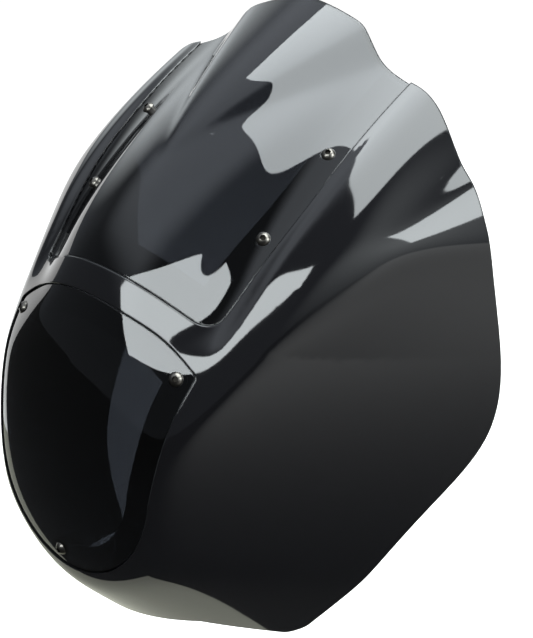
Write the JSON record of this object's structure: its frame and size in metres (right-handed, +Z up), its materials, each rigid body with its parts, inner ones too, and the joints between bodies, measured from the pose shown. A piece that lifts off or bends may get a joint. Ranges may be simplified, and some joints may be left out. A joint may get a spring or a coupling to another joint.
{
  "type": "motorcycle fairing",
  "caption": "Quarter fairing for a motorcycle: a gloss black moulded shell with a bubbled smoked windshield, a smoked headlight cover and button-head screws, held on fork brackets.",
  "frame": {"origin": "middle of the four fork-bracket bolts, on the plane of the boss faces", "axes": "+X to the rider's left, -Y the way the motorcycle faces, +Z up"},
  "size_m": [0.4156, 0.2757, 0.4756],
  "materials": {
    "black_abs": "polished gloss black, through-coloured ABS",
    "smoked_sheet": "dark smoked clear plastic sheet, polished",
    "stainless_steel": "bright turned stainless steel",
    "nut_rubber": "matte black rubber",
    "brass": "plain turned brass"
  },
  "bodies": {
    "root": {"fairing_shell": "black_abs", "windshield": "smoked_sheet", "headlight_cover": "smoked_sheet", "button_screws": "stainless_steel", "well_nuts": "nut_rubber", "nut_inserts": "brass", "mount_inserts": "brass"}
  },
  "joints": []
}
